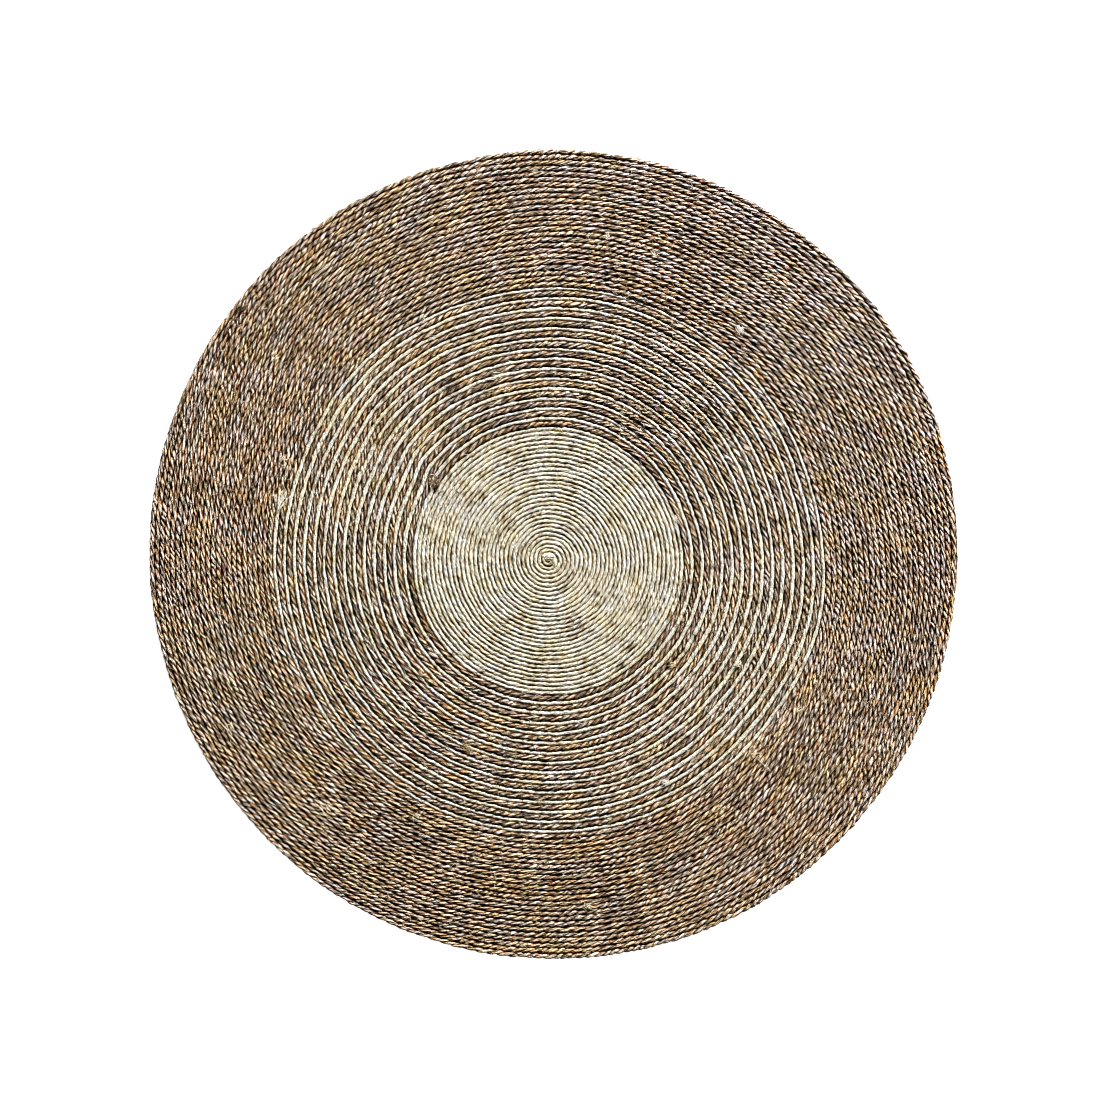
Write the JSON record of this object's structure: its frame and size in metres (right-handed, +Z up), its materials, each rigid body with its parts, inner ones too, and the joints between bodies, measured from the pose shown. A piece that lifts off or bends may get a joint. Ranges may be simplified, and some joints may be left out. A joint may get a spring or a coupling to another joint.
{
  "type": "round jute rug",
  "caption": "Round flat rug coiled from two twisted jute ropes: a cream middle, a band of narrow cream and brown stripes and a wide brown border.",
  "frame": {"origin": "on the floor, under the middle of the rug's outline", "axes": "+Z up through the rug, away from the floor; +X to the right and +Y to the top of the rug as seen in the picture, from above"},
  "size_m": [1.498, 1.5, 0.0099],
  "materials": {
    "cream_rope": "matt bleached jute rope",
    "brown_rope": "matt natural brown jute rope"
  },
  "bodies": {
    "root": {"cream_rope_coil": "cream_rope", "brown_rope_coil": "brown_rope"}
  },
  "joints": []
}
